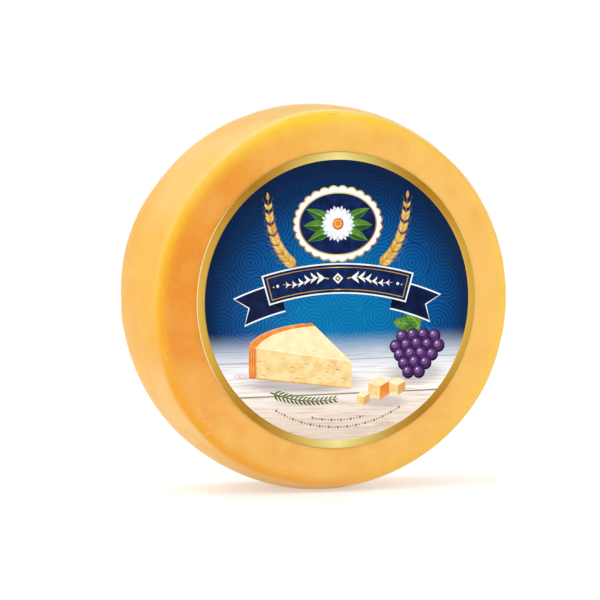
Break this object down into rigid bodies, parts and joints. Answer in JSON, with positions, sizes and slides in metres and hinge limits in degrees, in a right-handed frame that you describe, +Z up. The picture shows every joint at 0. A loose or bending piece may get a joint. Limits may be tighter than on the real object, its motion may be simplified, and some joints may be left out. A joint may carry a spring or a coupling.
{
  "type": "whole cheese wheel with round label",
  "caption": "Whole round hard cheese, a short barrelled cylinder with softly rounded edges and an orange-yellow waxy rind, standing on its rim, with a round gold-edged label on its front face.",
  "frame": {"origin": "middle of the object's length and width, on the underside of the flat foot of the rim that it stands on", "axes": "+Z up; the wheel's own axis runs along Y; the labelled face looks along -Y; +X is to the right of someone reading the label"},
  "size_m": [0.24, 0.0858, 0.2386],
  "materials": {
    "rind": "satin waxy cheese rind",
    "label_print": "gloss printed card"
  },
  "bodies": {
    "root": {"cheese_wheel": "rind", "face_label": "label_print"}
  },
  "joints": []
}
